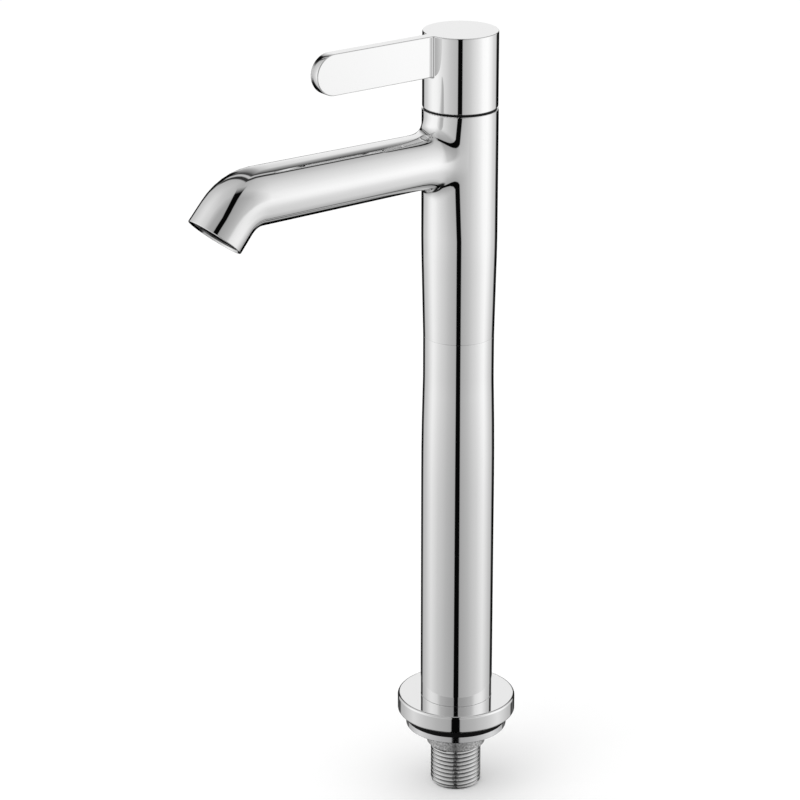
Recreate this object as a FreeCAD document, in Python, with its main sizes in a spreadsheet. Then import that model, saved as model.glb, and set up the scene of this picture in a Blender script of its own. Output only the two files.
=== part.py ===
"""Tall basin tap: a quarter-turn pillar tap on a slim column.

The origin is the centre of the deck seat, where the underside of the clamping
ring rests on the basin. +Z is up along the column and the spout points to -Y.
All sizes are millimetres.
"""
import FreeCAD, Part
import math
import os
import re

import Sketcher
from FreeCAD import Placement, Rotation, Vector

# Driving dimensions
SIZES = {
    # Base adapter: clamping ring, neck and threaded inlet shank in one turning
    "ring_diameter": 41.7,
    "ring_height": 2.75,
    "ring_rounding": 0.35,
    "neck_diameter": 24.2,
    "neck_length": 8.2,
    "shank_length": 26.95,  # deck seat to the end of the inlet shank
    "thread_diameter": 20.955,  # G 1/2 major diameter
    "thread_pitch": 1.814,
    "thread_depth": 1.162,
    "thread_root_width": 0.26,
    "thread_mouth_width": 1.81,  # of the cutting profile, outside the crests
    "thread_chamfer": 1.0,
    "relief_length": 1.2,  # plain undercut between neck and thread
    "inlet_bore": 14.0,
    "hub_diameter": 26.0,  # centres the gasket and the flange
    "hub_gap": 1.0,  # the hub stops this far under the flange top
    # Flange and gasket
    "gasket_height": 3.5,  # the black band that shows under the flange
    "gasket_nest": 2.5,  # how far the gasket goes up into the flange
    "flange_overhang": 3.55,  # of the flange over the clamping ring, all round
    "flange_height": 7.6,
    "flange_rounding": 1.1,
    "nest_gap": 0.1,  # round the gasket and round the hub
    # Lower column tube
    "column_length": 158.8,
    "column_diameter": 29.7,
    "foot_rounding": 0.25,
    "waist_diameter": 28.45,
    "waist_length": 18.8,  # straight stretch of the waist under the seam
    "flare_length": 24.0,
    "blend_drop": 4.8,  # the flare's two blends meet this far under the waist
    "flare_blend": 1400.0,
    "waist_blend": 300.0,
    "spigot_diameter": 24.4,  # threaded spigots that enter the tube at both ends
    "spigot_length": 15.0,
    "thread_fit": 0.05,  # radial gap of screwed joints, drawn as plain cylinders
    # Head casting: upper column and spout in one
    "head_diameter": 30.15,
    "head_taper": 38.2,
    "taper_blend": 450.0,
    "head_rounding": 0.4,
    "seam_rounding": 0.12,
    "water_bore": 19.2,
    "spout_height": 74.9,  # seam to the spout's axis
    "head_over_spout": 18.8,  # spout's axis to the head top
    "spout_root": 21.45,
    "spout_knee": 22.8,
    "spout_tip": 23.1,
    "spout_straight": 96.0,
    "spout_end": 8.9,
    "bend_radius": 17.0,
    "bend_angle": 49.85,
    "spout_bore": 15.0,
    "spout_fillet": 6.5,
    "root_reach": 25.0,  # column axis to where the spout starts to widen
    "root_inset": 3.0,  # column axis to the widest section, inside the column
    "root_margin": 0.38,  # column's skin to that section's sides
    "root_corner": 6.5,
    "root_sink": 0.02,  # the widening starts this far under the spout's skin
    "mouth_bore": 20.2,
    "mouth_rounding": 0.35,
    "mouth_chamfer": 0.7,  # inner edge of the outlet, a lead for the aerator
    # Valve chamber in the head
    "socket_depth": 10.0,  # threaded socket for the cartridge
    "seat_depth": 30.35,  # head top to the valve seat
    "seat_thickness": 4.0,
    "port_diameter": 11.0,
    "chamber_diameter": 22.8,
    # Ceramic cartridge
    "seal_height": 2.8,
    "seal_bore": 11.2,
    "disc_diameter": 15.5,
    "fixed_disc_height": 3.2,
    "moving_disc_height": 3.2,
    "disc_gap": 0.02,  # film of grease between lapped faces
    "port_inner": 4.4,
    "port_outer": 12.8,
    "port_angle": 80.0,
    "slot_depth": 1.5,
    "slot_width": 4.1,
    "tongue_width": 3.9,
    "tongue_length": 13.9,
    "drive_space": 4.0,  # open height between moving disc and spindle plate
    "plate_height": 1.2,
    "washer_height": 0.6,
    "barrel_diameter": 18.6,
    "barrel_bore": 16.0,
    "barrel_lift": 0.8,
    "window_width": 9.0,
    "stem_diameter": 9.8,
    "running_fit": 0.05,  # radial, and under the thrust washer
    "collar_diameter": 24.0,
    "collar_height": 1.6,
    "hex_width": 19.0,
    "hex_height": 6.0,
    "turret_diameter": 14.0,
    "turret_height": 2.4,
    "clip_height": 1.0,
    "clip_width": 2.6,
    "clip_groove": 6.8,
    "clip_opening": 5.0,
    "clip_clearance": 0.1,
    "spindle_height": 22.2,  # spindle top above the head top
    "spline_diameter": 8.0,
    "spline_depth": 0.45,
    "spline_length": 9.2,
    "space_root_width": 0.43,
    "space_mouth_width": 0.81,
    "tooth_tip_width": 0.31,
    "tooth_root_width": 0.62,
    "spline_count": 20,
    # O-rings, by their section diameter
    "stem_ring": 1.2,
    "collar_ring": 1.3,
    "joint_ring": 1.6,
    "joint_ring_inset": 4.0,  # groove centre to the spigot's end
    "groove_clearance": 0.3,
    "upper_groove_depth": 7.0,  # stem grooves, below the head top
    "lower_groove_depth": 12.0,
    # Handle: cap and lever in one casting
    "handle_gap": 0.8,
    "handle_diameter": 29.8,
    "handle_height": 30.2,
    "handle_rounding": 0.45,
    "cavity_diameter": 25.2,
    "cavity_depth": 12.0,
    "cap_roof": 8.0,
    "lever_reach": 69.0,
    "lever_height": 16.2,
    "lever_thickness": 4.7,
    "lever_overlap": 4.0,  # how far the lever runs into the cap
    "lever_fillet": 0.9,
    "adapter_diameter": 11.1,
    "adapter_gap": 0.05,
    "glide_clearance": 0.06,
    "glide_diameter": 28.8,
    "screw_height": 13.7,  # cap top down to the set screw's axis
    "screw_diameter": 5.0,
    "screw_socket": 2.5,
    "socket_reach": 3.0,
    "screw_point": 1.0,
    "plug_diameter": 6.0,
    "plug_depth": 2.0,
    "plug_fit": 0.05,
    # Aerator, stacked inwards from the outlet plane
    "aerator_recess": 1.0,
    "housing_length": 7.5,
    "housing_bore": 17.1,
    "lip_height": 0.8,
    "lip_bore": 15.6,
    "key_notch": 2.0,
    "key_count": 4,
    "mesh_thickness": 0.4,
    "mesh_pitch": 1.7,
    "mesh_hole": 1.1,
    "mesh_rings": 4,
    "mesh_step": 6,  # each ring has this many holes more than the one inside it
    "stack_gap": 0.05,
    "jet_hole": 1.8,
    "jet_circle": 12.2,
    "jet_count": 12,
    "inner_jet_circle": 6.4,
    "inner_jet_count": 6,
    "aerator_seal_height": 1.6,
    "aerator_seal_bore": 13.6,
}

# Sizes and levels that follow from the driving ones
DERIVED = {
    "gasket_low": "ring_height",
    "flange_diameter": "ring_diameter + flange_overhang * 2",
    "flange_low": "gasket_low + gasket_height",
    "gasket_top": "flange_low + gasket_nest",
    "flange_top": "flange_low + flange_height",
    "seam_level": "flange_top + column_length",
    "waist_low": "seam_level - waist_length",
    "flare_low": "waist_low - flare_length",
    "blend_level": "waist_low - blend_drop",
    "flare_slope": "(column_diameter - waist_diameter) / 2 / flare_length",
    "blend_radius": "waist_diameter / 2 + flare_slope * blend_drop",
    "spigot_radius": "spigot_diameter / 2",
    "column_bore_radius": "spigot_radius + thread_fit",
    "joint_groove_radius": "column_bore_radius - joint_ring",
    "base_spigot_top": "flange_top + spigot_length",
    "head_spigot_low": "seam_level - spigot_length",
    "spout_level": "seam_level + spout_height",
    "head_top": "spout_level + head_over_spout",
    "root_side": "head_diameter / 2 - root_margin",
    "root_start": "(spout_root + (spout_knee - spout_root) * root_reach / spout_straight) / 2 - root_sink",
    "outlet_reach": "spout_straight + bend_radius * sin(bend_angle) + spout_end * cos(bend_angle)",
    "outlet_level": "spout_level - bend_radius * (1 - cos(bend_angle)) - spout_end * sin(bend_angle)",
    "mouth_depth": "aerator_recess + housing_length + aerator_seal_height",
    "socket_radius": "thread_diameter / 2",
    "seat_level": "head_top - seat_depth",
    "seal_top": "seat_level + seal_height",
    "fixed_disc_top": "seal_top + fixed_disc_height",
    "moving_disc_low": "fixed_disc_top + disc_gap",
    "moving_disc_top": "moving_disc_low + moving_disc_height",
    "plate_low": "moving_disc_top + drive_space",
    "plate_top": "plate_low + plate_height",
    "washer_top": "plate_top + washer_height",
    "shoulder_level": "washer_top + running_fit",
    "collar_top": "head_top + collar_height",
    "hex_top": "collar_top + hex_height",
    "turret_top": "hex_top + turret_height",
    "clip_low": "turret_top + clip_clearance",
    "clip_top": "clip_low + clip_height",
    "stem_bore_radius": "stem_diameter / 2 + running_fit",
    "stem_groove_radius": "stem_diameter / 2 - stem_ring",
    "spindle_top": "head_top + spindle_height",
    "spline_low": "spindle_top - spline_length",
    "handle_low": "head_top + handle_gap",
    "handle_top": "handle_low + handle_height",
    "cavity_top": "handle_low + cavity_depth",
    "socket_top": "handle_top - cap_roof",
    "adapter_radius": "adapter_diameter / 2",
    "lever_low": "handle_top - lever_height",
    "lever_straight": "lever_reach - lever_height / 2",
    "screw_level": "handle_top - screw_height",
    "plug_floor": "handle_diameter / 2 - plug_depth",
    "mesh_radius": "housing_bore / 2 - stack_gap",
    "screen_low": "aerator_recess + lip_height",
    "core_low": "screen_low + mesh_thickness + stack_gap",
    "housing_top": "aerator_recess + housing_length",
    "strainer_low": "housing_top - mesh_thickness",
}

NEAR = 0.01  # how closely an edge has to match the place it is looked for
ROOT_STEPS = 3  # stretches in which the spout's root widens
doc = FreeCAD.newDocument("TallBasinTap")
sheet = doc.addObject("Spreadsheet::Sheet", "Sizes")


def fill_sheet():
    """Write each driving dimension and its alias into the sheet."""
    for row, (name, number) in enumerate(SIZES.items(), start=1):
        sheet.set("A%d" % row, name)
        sheet.set("B%d" % row, str(number))
        sheet.setAlias("B%d" % row, name)
    doc.recompute()


def bound(words):
    """Turn an expression in plain size names into one that reads the sheet."""

    def swap(match):
        name = match.group(0)
        if name in SIZES:
            return "Sizes." + name
        if name in DERIVED:
            return "(" + bound(DERIVED[name]) + ")"
        return name

    return re.sub(r"[a-z][a-z_]+", swap, str(words))


def value(words):
    """Work out an expression in size names as a number."""
    return float(sheet.evalExpression(bound(words)))


def bind(thing, **properties):
    """Bind properties of a document object to expressions in size names."""
    for name, words in properties.items():
        thing.setExpression(name, bound(words))


def place(thing, across="0", along="0", up="0", turn="0"):
    """Bind a placement: a position and a turn in degrees about the X axis."""
    start = Vector(value(across), value(along), value(up))
    thing.Placement = Placement(start, Rotation(Vector(1, 0, 0), value(turn)))
    for axis, words in zip("xyz", (across, along, up)):
        thing.setExpression("Placement.Base." + axis, bound(words))
    if turn != "0":
        thing.setExpression("Placement.Rotation.Angle", bound(turn))


def new_body(label):
    """Start a sub-part."""
    body = doc.addObject("PartDesign::Body", label)
    body.Label = label
    return body


def origin_feature(body, role):
    """Find one of the body's own origin planes or axes."""
    return [item for item in body.Origin.OriginFeatures if item.Role == role][0]


def outline(body, corners, plane="XZ_Plane", lift="0"):
    """Sketch a closed outline whose corners are bound to size expressions.

    A corner is (across, up), or (across, up, radius) where it is blended round.
    """
    sketch = body.newObject("Sketcher::SketchObject", "Outline")
    sketch.AttachmentSupport = [(origin_feature(body, plane), "")]
    sketch.MapMode = "FlatFace"
    if lift != "0":
        sketch.setExpression("AttachmentOffset.Base.z", bound(lift))
    places = [Vector(value(corner[0]), value(corner[1]), 0) for corner in corners]
    ends = [blend_ends(places, index, corner) for index, corner in enumerate(corners)]
    for index, (_, leave) in enumerate(ends):
        arrive = ends[(index + 1) % len(ends)][0]
        sketch.addGeometry(Part.LineSegment(leave, arrive), False)
    for index, corner in enumerate(corners):
        before = (index - 1) % len(corners)
        if len(corner) == 2:
            sketch.addConstraint(Sketcher.Constraint("Coincident", before, 2, index, 1))
            fix_point(sketch, index, places[index], corner)
        else:
            blend(sketch, before, index, places[index], ends[index], corner)
    return sketch


def fix_point(sketch, geometry, spot, corner):
    """Bind the first point of a line, or a point, to its corner's expressions."""
    for kind, words, number in zip(("DistanceX", "DistanceY"), corner, spot[:2]):
        name = "%s_%d" % (kind, geometry)
        rule = sketch.addConstraint(Sketcher.Constraint(kind, -1, 1, geometry, 1, number))
        sketch.renameConstraint(rule, name)
        sketch.setExpression("Constraints." + name, bound(words))


def blend_ends(places, index, corner):
    """Find where the straight lines end on each side of a corner."""
    here = places[index]
    if len(corner) == 2:
        return here, here
    back = (places[index - 1] - here).normalize()
    ahead = (places[(index + 1) % len(places)] - here).normalize()
    trim = value(corner[2]) / math.tan(back.getAngle(ahead) / 2)
    return here + back * trim, here + ahead * trim


def blend(sketch, before, after, spot, ends, corner):
    """Add the tangent arc between two lines of an outline, and its corner point."""
    point = sketch.addGeometry(Part.Point(spot), True)
    fix_point(sketch, point, spot, corner)
    chord_middle = (ends[0] + ends[1]) / 2
    half_chord = (ends[1] - ends[0]).Length / 2
    radius = value(corner[2])
    rise = radius - math.sqrt(radius ** 2 - half_chord ** 2)
    middle = chord_middle + (spot - chord_middle).normalize() * rise
    arc = sketch.addGeometry(Part.Arc(ends[0], middle, ends[1]), False)
    starts_first = (sketch.Geometry[arc].StartPoint - ends[0]).Length < NEAR
    first, last = (1, 2) if starts_first else (2, 1)
    sketch.addConstraint(Sketcher.Constraint("PointOnObject", point, 1, before))
    sketch.addConstraint(Sketcher.Constraint("PointOnObject", point, 1, after))
    sketch.addConstraint(Sketcher.Constraint("Tangent", arc, first, before, 2))
    sketch.addConstraint(Sketcher.Constraint("Tangent", arc, last, after, 1))
    name = "Blend_%d" % arc
    sketch.renameConstraint(sketch.addConstraint(Sketcher.Constraint("Radius", arc, radius)), name)
    sketch.setExpression("Constraints." + name, bound(corner[2]))


def revolve(body, corners, kind="PartDesign::Revolution"):
    """Turn an outline of (radius, height) corners round the Z axis."""
    feature = body.newObject(kind, "Turned")
    feature.Profile = outline(body, corners)
    feature.ReferenceAxis = (feature.Profile[0], ["V_Axis"])
    feature.Angle = 360
    doc.recompute()
    return feature


def turned(label, corners):
    """Make a sub-part that is one turned solid."""
    body = new_body(label)
    revolve(body, corners)
    return body


def groove(body, floor, mouth, level, width):
    """Cut a ring groove round the Z axis, centred on a level."""
    low = "%s - %s / 2" % (level, width)
    high = "%s + %s / 2" % (level, width)
    corners = [(floor, low), (mouth, low), (mouth, high), (floor, high)]
    return revolve(body, corners, "PartDesign::Groove")


def ring(label, inner, outer, low, high):
    """Make a plain ring between two radii and two levels."""
    return turned(label, [(inner, low), (outer, low), (outer, high), (inner, high)])


def primitive(body, kind, across="0", along="0", up="0", turn="0", **sizes):
    """Add or cut a primitive in a body."""
    feature = body.newObject("PartDesign::" + kind, kind)
    bind(feature, **sizes)
    place(feature, across, along, up, turn)
    doc.recompute()
    return feature


def repeat(body, feature, count):
    """Repeat a feature round the Z axis."""
    pattern = body.newObject("PartDesign::PolarPattern", "Pattern")
    pattern.Originals = [feature]
    pattern.Axis = (origin_feature(body, "Z_Axis"), [""])
    pattern.Angle = 360
    bind(pattern, Occurrences=count)
    body.Tip = pattern
    doc.recompute()
    return pattern


def circle_edge(radius, level):
    """Test for a circle round the Z axis, with a radius and at a level."""

    def fits(edge):
        if edge.Curve.TypeId != "Part::GeomCircle":
            return False
        middle = edge.Curve.Center
        off_axis = max(abs(middle.x), abs(middle.y), abs(middle.z - value(level)))
        return off_axis < NEAR and abs(edge.Curve.Radius - value(radius)) < NEAR

    return fits


def soften(body, tests, radius, kind="Fillet", size="Radius"):
    """Round the edges of a body that any of the tests picks."""
    base = body.Tip
    names = []
    for number, edge in enumerate(base.Shape.Edges, start=1):
        if any(test(edge) for test in tests):
            names.append("Edge%d" % number)
    if not names:
        raise RuntimeError("no edge to soften on " + body.Label)
    feature = body.newObject("PartDesign::" + kind, kind)
    feature.Base = (base, names)
    bind(feature, **{size: radius})
    body.Tip = feature
    doc.recompute()
    return feature


def o_ring(label, groove_floor, section, level):
    """Make a round-section seal that fills its groove's depth."""
    torus = doc.addObject("Part::Torus", label)
    torus.Label = label
    bind(torus, Radius1="%s + %s / 2" % (groove_floor, section), Radius2="%s / 2" % section)
    place(torus, up=level)
    doc.recompute()
    return torus


def base_adapter():
    """Clamping ring, neck, G 1/2 inlet shank and the spigot for the column."""
    body = new_body("base_adapter")
    bore = "inlet_bore / 2"
    hub = "hub_diameter / 2"
    hub_top = "flange_top - hub_gap"
    crest = "thread_diameter / 2"
    root = "thread_diameter / 2 - thread_depth"
    revolve(body, [
        (bore, "-shank_length"),
        (crest + " - thread_chamfer", "-shank_length"),
        (crest, "-shank_length + thread_chamfer"),
        (crest, "-neck_length - relief_length"),
        (root, "-neck_length - relief_length"),
        (root, "-neck_length"),
        ("neck_diameter / 2", "-neck_length"),
        ("neck_diameter / 2", "0"),
        ("ring_diameter / 2", "0"),
        ("ring_diameter / 2", "ring_height"),
        (hub, "ring_height"),
        (hub, hub_top),
        ("spigot_radius", hub_top),
        ("spigot_radius", "base_spigot_top"),
        (bore, "base_spigot_top"),
    ])
    soften(body, [circle_edge("ring_diameter / 2", "0")], "ring_rounding")
    level = "base_spigot_top - joint_ring_inset"
    groove(body, "joint_groove_radius", "hub_diameter / 2", level, "(joint_ring + groove_clearance)")
    cut_thread(body)
    return body


def cut_thread(body):
    """Cut the helical pipe thread up the shank, from below its end to the relief."""
    root = "thread_diameter / 2 - thread_depth"
    over = "thread_diameter / 2 + thread_depth / 2"
    start = "-shank_length - thread_pitch"
    flat = "thread_root_width / 2"
    wide = "thread_mouth_width / 2"
    sketch = outline(body, [
        (root, start + " - " + flat),
        (over, start + " - " + wide),
        (over, start + " + " + wide),
        (root, start + " + " + flat),
    ])
    doc.recompute()
    thread = body.newObject("PartDesign::SubtractiveHelix", "Thread")
    thread.Profile = sketch
    thread.ReferenceAxis = (sketch, ["V_Axis"])
    thread.Mode = "pitch-height-angle"
    bind(thread, Pitch="thread_pitch", Height="shank_length + thread_pitch / 2 - neck_length")
    body.Tip = thread
    doc.recompute()
    return thread


def base_flange():
    """Round cover flange, recessed underneath for the gasket."""
    body = new_body("base_flange")
    bore = "hub_diameter / 2 + nest_gap"
    nest = "ring_diameter / 2 + nest_gap"
    rim = "flange_diameter / 2"
    revolve(body, [
        (bore, "gasket_top"),
        (nest, "gasket_top"),
        (nest, "flange_low"),
        (rim, "flange_low"),
        (rim, "flange_top"),
        (bore, "flange_top"),
    ])
    edges = [circle_edge(rim, "flange_low"), circle_edge(rim, "flange_top")]
    soften(body, edges, "flange_rounding")
    return body


def base_gasket():
    """Black rubber gasket between clamping ring and flange."""
    inner = "hub_diameter / 2 + nest_gap"
    return ring("base_gasket", inner, "ring_diameter / 2", "gasket_low", "gasket_top")


def lower_column():
    """Column tube, necked in at the top to a slight waist under the seam."""
    body = new_body("lower_column")
    bore = "column_bore_radius"
    wide = "column_diameter / 2"
    waist = "waist_diameter / 2"
    revolve(body, [
        (bore, "flange_top"),
        (wide, "flange_top"),
        (wide, "flare_low", "flare_blend"),
        ("blend_radius", "blend_level"),
        (bore, "blend_level"),
    ])
    revolve(body, [
        (bore, "seam_level"),
        (waist, "seam_level"),
        (waist, "waist_low", "waist_blend"),
        ("blend_radius", "blend_level"),
        (bore, "blend_level"),
    ])
    soften(body, [circle_edge(wide, "flange_top")], "foot_rounding")
    soften(body, [circle_edge(waist, "seam_level")], "seam_rounding")
    return body


def head_casting():
    """Upper column with the spout, its waterway and the valve chamber."""
    body = new_body("head_casting")
    water = "water_bore / 2"
    head = "head_diameter / 2"
    waist = "waist_diameter / 2"
    taper_top = "seam_level + head_taper"
    revolve(body, [
        ("0", "seam_level"),
        (waist, "seam_level"),
        (head, taper_top, "taper_blend"),
        (head, "head_top"),
        ("0", "head_top"),
    ])
    soften(body, [circle_edge(head, "head_top")], "head_rounding")
    soften(body, [circle_edge(waist, "seam_level")], "seam_rounding")
    add_spout(body)
    revolve(body, [
        ("0", "head_spigot_low"),
        ("spigot_radius", "head_spigot_low"),
        ("spigot_radius", "seam_level"),
        ("0", "seam_level"),
    ])
    level = "head_spigot_low + joint_ring_inset"
    groove(body, "joint_groove_radius", "head_diameter / 2", level, "(joint_ring + groove_clearance)")
    seat_low = "seat_level - seat_thickness"
    revolve(body, [
        ("0", "head_spigot_low"),
        (water, "head_spigot_low"),
        (water, seat_low),
        ("port_diameter / 2", seat_low),
        ("port_diameter / 2", "seat_level"),
        ("chamber_diameter / 2", "seat_level"),
        ("chamber_diameter / 2", "head_top - socket_depth"),
        ("socket_radius", "head_top - socket_depth"),
        ("socket_radius", "head_top - collar_ring"),
        ("socket_radius + collar_ring", "head_top - collar_ring"),
        ("socket_radius + collar_ring", "head_top"),
        ("0", "head_top"),
    ], "PartDesign::Groove")
    cut_spout_bore(body)
    return body


def add_spout(body):
    """Add the tapered spout, its bend and its end, and blend the root."""
    knee = "spout_knee / 2"
    primitive(body, "AdditiveCone", up="spout_level", turn="90",
              Radius1="spout_root / 2", Radius2=knee, Height="spout_straight")
    bend_round(body, "AdditiveTorus", knee)
    primitive(body, "AdditiveCone", along="-spout_straight - bend_radius * sin(bend_angle)",
              up="spout_level - bend_radius * (1 - cos(bend_angle))", turn="90 + bend_angle",
              Radius1=knee, Radius2="spout_tip / 2", Height="spout_end")
    widen_root(body)
    soften(body, [root_edge], "spout_fillet")
    soften(body, [mouth_edge("spout_tip / 2")], "mouth_rounding")


def widen_root(body):
    """Widen the spout towards the column, from round to nearly square."""
    sections = [root_section(body, step / ROOT_STEPS) for step in range(ROOT_STEPS + 1)]
    root = body.newObject("PartDesign::AdditiveLoft", "Root")
    root.Profile = sections[0]
    root.Sections = sections[1:]
    doc.recompute()


def root_section(body, share):
    """Sketch the spout's outline at a share of the way from round to square."""
    reach = "root_reach + (root_inset - root_reach) * %.4f" % share
    side = "(root_start + (root_side - root_start) * %.4f)" % share ** 2
    corner = "root_start - root_sink + (root_corner - root_start) * %.4f" % share ** 2
    low = "spout_level - root_start"
    high = "spout_level + root_start"
    spots = [(side, low), (side, high), ("-" + side, high), ("-" + side, low)]
    return outline(body, [spot + (corner,) for spot in spots], lift=reach)


def root_edge(edge):
    """Test for an edge where the spout meets the column."""
    first, last = edge.FirstParameter, edge.LastParameter
    middle = edge.valueAt((first + last) / 2)
    spots = [edge.valueAt(first), middle, edge.valueAt(last)]
    head = value("head_diameter / 2")
    on_column = all(abs(math.hypot(spot.x, spot.y) - head) < NEAR for spot in spots)
    beside_spout = abs(middle.z - value("spout_level")) < head
    return on_column and beside_spout and edge.Curve.TypeId == "Part::GeomBSplineCurve"


def mouth_edge(radius):
    """Test for a circle in the outlet plane."""

    def fits(edge):
        if edge.Curve.TypeId != "Part::GeomCircle":
            return False
        middle = Vector(0, -value("outlet_reach"), value("outlet_level"))
        same_place = (edge.Curve.Center - middle).Length < NEAR
        return same_place and abs(edge.Curve.Radius - value(radius)) < NEAR

    return fits


def bend_round(body, kind, radius):
    """Add or cut the round bend between the spout's two straight runs."""
    torus = body.newObject("PartDesign::" + kind, "Bend")
    bind(torus, Radius1="bend_radius", Radius2=radius, Angle3="bend_angle")
    torus.Placement = Placement(Vector(0, 0, 0), Rotation(Vector(1, 0, 1), 180))
    torus.setExpression("Placement.Base.y", bound("-spout_straight"))
    torus.setExpression("Placement.Base.z", bound("spout_level - bend_radius"))
    doc.recompute()
    return torus


def cut_spout_bore(body):
    """Cut the spout's waterway from the chamber and the mouth for the aerator."""
    bore = "spout_bore / 2"
    chamber = "socket_radius"
    primitive(body, "SubtractiveCylinder", along="-" + chamber, up="spout_level", turn="90",
              Radius=bore, Height="spout_straight - " + chamber)
    bend_round(body, "SubtractiveTorus", bore)
    primitive(body, "SubtractiveCylinder", along="-outlet_reach", up="outlet_level",
              turn="bend_angle - 90", Radius=bore, Height="spout_end")
    primitive(body, "SubtractiveCylinder", along="-outlet_reach", up="outlet_level",
              turn="bend_angle - 90", Radius="mouth_bore / 2", Height="mouth_depth")
    soften(body, [mouth_edge("mouth_bore / 2")], "mouth_chamfer", "Chamfer", "Size")


def cartridge_body():
    """Brass headwork: barrel with two windows, thread, collar, hexagon and turret."""
    body = new_body("cartridge_body")
    bore = "barrel_bore / 2"
    barrel = "barrel_diameter / 2"
    barrel_low = "seat_level + barrel_lift"
    thread = "socket_radius - thread_fit"
    revolve(body, [
        (bore, barrel_low),
        (barrel, barrel_low),
        (barrel, "head_top - socket_depth"),
        (thread, "head_top - socket_depth"),
        (thread, "head_top"),
        ("collar_diameter / 2", "head_top"),
        ("collar_diameter / 2", "collar_top"),
        ("turret_diameter / 2", "collar_top"),
        ("turret_diameter / 2", "turret_top"),
        ("stem_bore_radius", "turret_top"),
        ("stem_bore_radius", "shoulder_level"),
        (bore, "shoulder_level"),
    ])
    hexagon = primitive(body, "AdditivePrism", up="collar_top",
                        Circumradius="hex_width / sqrt(3)", Height="hex_height")
    hexagon.Polygon = 6
    primitive(body, "SubtractiveCylinder", up="shoulder_level",
              Radius="stem_bore_radius", Height="turret_top - shoulder_level")
    primitive(body, "SubtractiveBox", across="-window_width / 2", along="-barrel_diameter",
              up="moving_disc_top", Length="window_width", Width="barrel_diameter * 2",
              Height="drive_space")
    return body


def cartridge_spindle():
    """Spindle: drive tongue, plate, sealed stem, clip groove and splined end."""
    body = new_body("cartridge_spindle")
    plate = "disc_diameter / 2"
    stem = "stem_diameter / 2"
    spline = "spline_diameter / 2"
    revolve(body, [
        ("0", "plate_low"),
        (plate, "plate_low"),
        (plate, "plate_top"),
        (stem, "plate_top"),
        (stem, "turret_top"),
        (spline, "turret_top"),
        (spline, "spindle_top"),
        ("0", "spindle_top"),
    ])
    tongue_low = "moving_disc_top - slot_depth + disc_gap"
    primitive(body, "AdditiveBox", across="-tongue_width / 2", along="-tongue_length / 2",
              up=tongue_low, Length="tongue_width", Width="tongue_length",
              Height="plate_low - (%s)" % tongue_low)
    width = "(stem_ring + groove_clearance)"
    groove(body, "stem_groove_radius", plate, "(head_top - upper_groove_depth)", width)
    groove(body, "stem_groove_radius", plate, "(head_top - lower_groove_depth)", width)
    groove(body, "clip_groove / 2", plate, "(clip_low + clip_height / 2)", "(clip_height)")
    root = "spline_diameter / 2 - spline_depth"
    notch = pocket_up(body, root, "spline_diameter / 2 + spline_depth", "space_root_width",
                      "space_mouth_width", "spline_low", "spline_length")
    repeat(body, notch, "spline_count")
    return body


def tooth_outline(body, inner, outer, inner_width, outer_width, level):
    """Sketch one spline space or tooth, lying across the X axis."""
    return outline(body, [
        (inner, "-(%s) / 2" % inner_width),
        (outer, "-(%s) / 2" % outer_width),
        (outer, "(%s) / 2" % outer_width),
        (inner, "(%s) / 2" % inner_width),
    ], "XY_Plane", level)


def pocket_up(body, inner, outer, inner_width, outer_width, level, height):
    """Cut one spline space upwards from a level."""
    pocket = body.newObject("PartDesign::Pocket", "Space")
    pocket.Profile = tooth_outline(body, inner, outer, inner_width, outer_width, level)
    pocket.Reversed = True
    bind(pocket, Length=height)
    doc.recompute()
    return pocket


def spline_adapter():
    """Plastic bush between the splined spindle and the handle's socket."""
    bore = "spline_diameter / 2 + adapter_gap"
    low = "spline_low + adapter_gap"
    high = "socket_top - adapter_gap"
    body = ring("spline_adapter", bore, "adapter_radius", low, high)
    tooth = body.newObject("PartDesign::Pad", "Tooth")
    tooth.Profile = tooth_outline(body, "spline_diameter / 2 - spline_depth + adapter_gap",
                                  "spline_diameter / 2 + spline_depth", "tooth_tip_width",
                                  "tooth_root_width", low)
    bind(tooth, Length="spline_length - adapter_gap * 2")
    doc.recompute()
    repeat(body, tooth, "spline_count")
    return body


def spindle_circlip():
    """Spring clip that keeps the spindle in the cartridge."""
    body = ring("spindle_circlip", "clip_groove / 2 + adapter_gap",
                "clip_groove / 2 + clip_width", "clip_low", "clip_top")
    primitive(body, "SubtractiveBox", across="-clip_opening / 2", up="clip_low",
              Length="clip_opening", Width="clip_groove", Height="clip_height")
    return body


def ported_disc(label, low, high, along_x):
    """Make a ceramic disc with two opposite sector ports."""
    body = turned(label, [
        ("0", low),
        ("disc_diameter / 2", low),
        ("disc_diameter / 2", high),
        ("0", high),
    ])
    port = body.newObject("PartDesign::Groove", "Port")
    plane = "XZ_Plane" if along_x else "YZ_Plane"
    port.Profile = outline(body, [
        ("port_inner / 2", low),
        ("port_outer / 2", low),
        ("port_outer / 2", high),
        ("port_inner / 2", high),
    ], plane)
    port.ReferenceAxis = (port.Profile[0], ["V_Axis"])
    port.Midplane = True
    bind(port, Angle="port_angle")
    doc.recompute()
    repeat(body, port, "2")
    return body


def moving_disc():
    """Upper ceramic disc, slotted for the spindle's tongue."""
    body = ported_disc("moving_disc", "moving_disc_low", "moving_disc_top", True)
    primitive(body, "SubtractiveBox", across="-slot_width / 2", along="-disc_diameter",
              up="moving_disc_top - slot_depth", Length="slot_width",
              Width="disc_diameter * 2", Height="slot_depth")
    return body


def fixed_disc():
    """Lower ceramic disc, held by the barrel on its rubber seat."""
    return ported_disc("fixed_disc", "seal_top", "fixed_disc_top", False)


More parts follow.
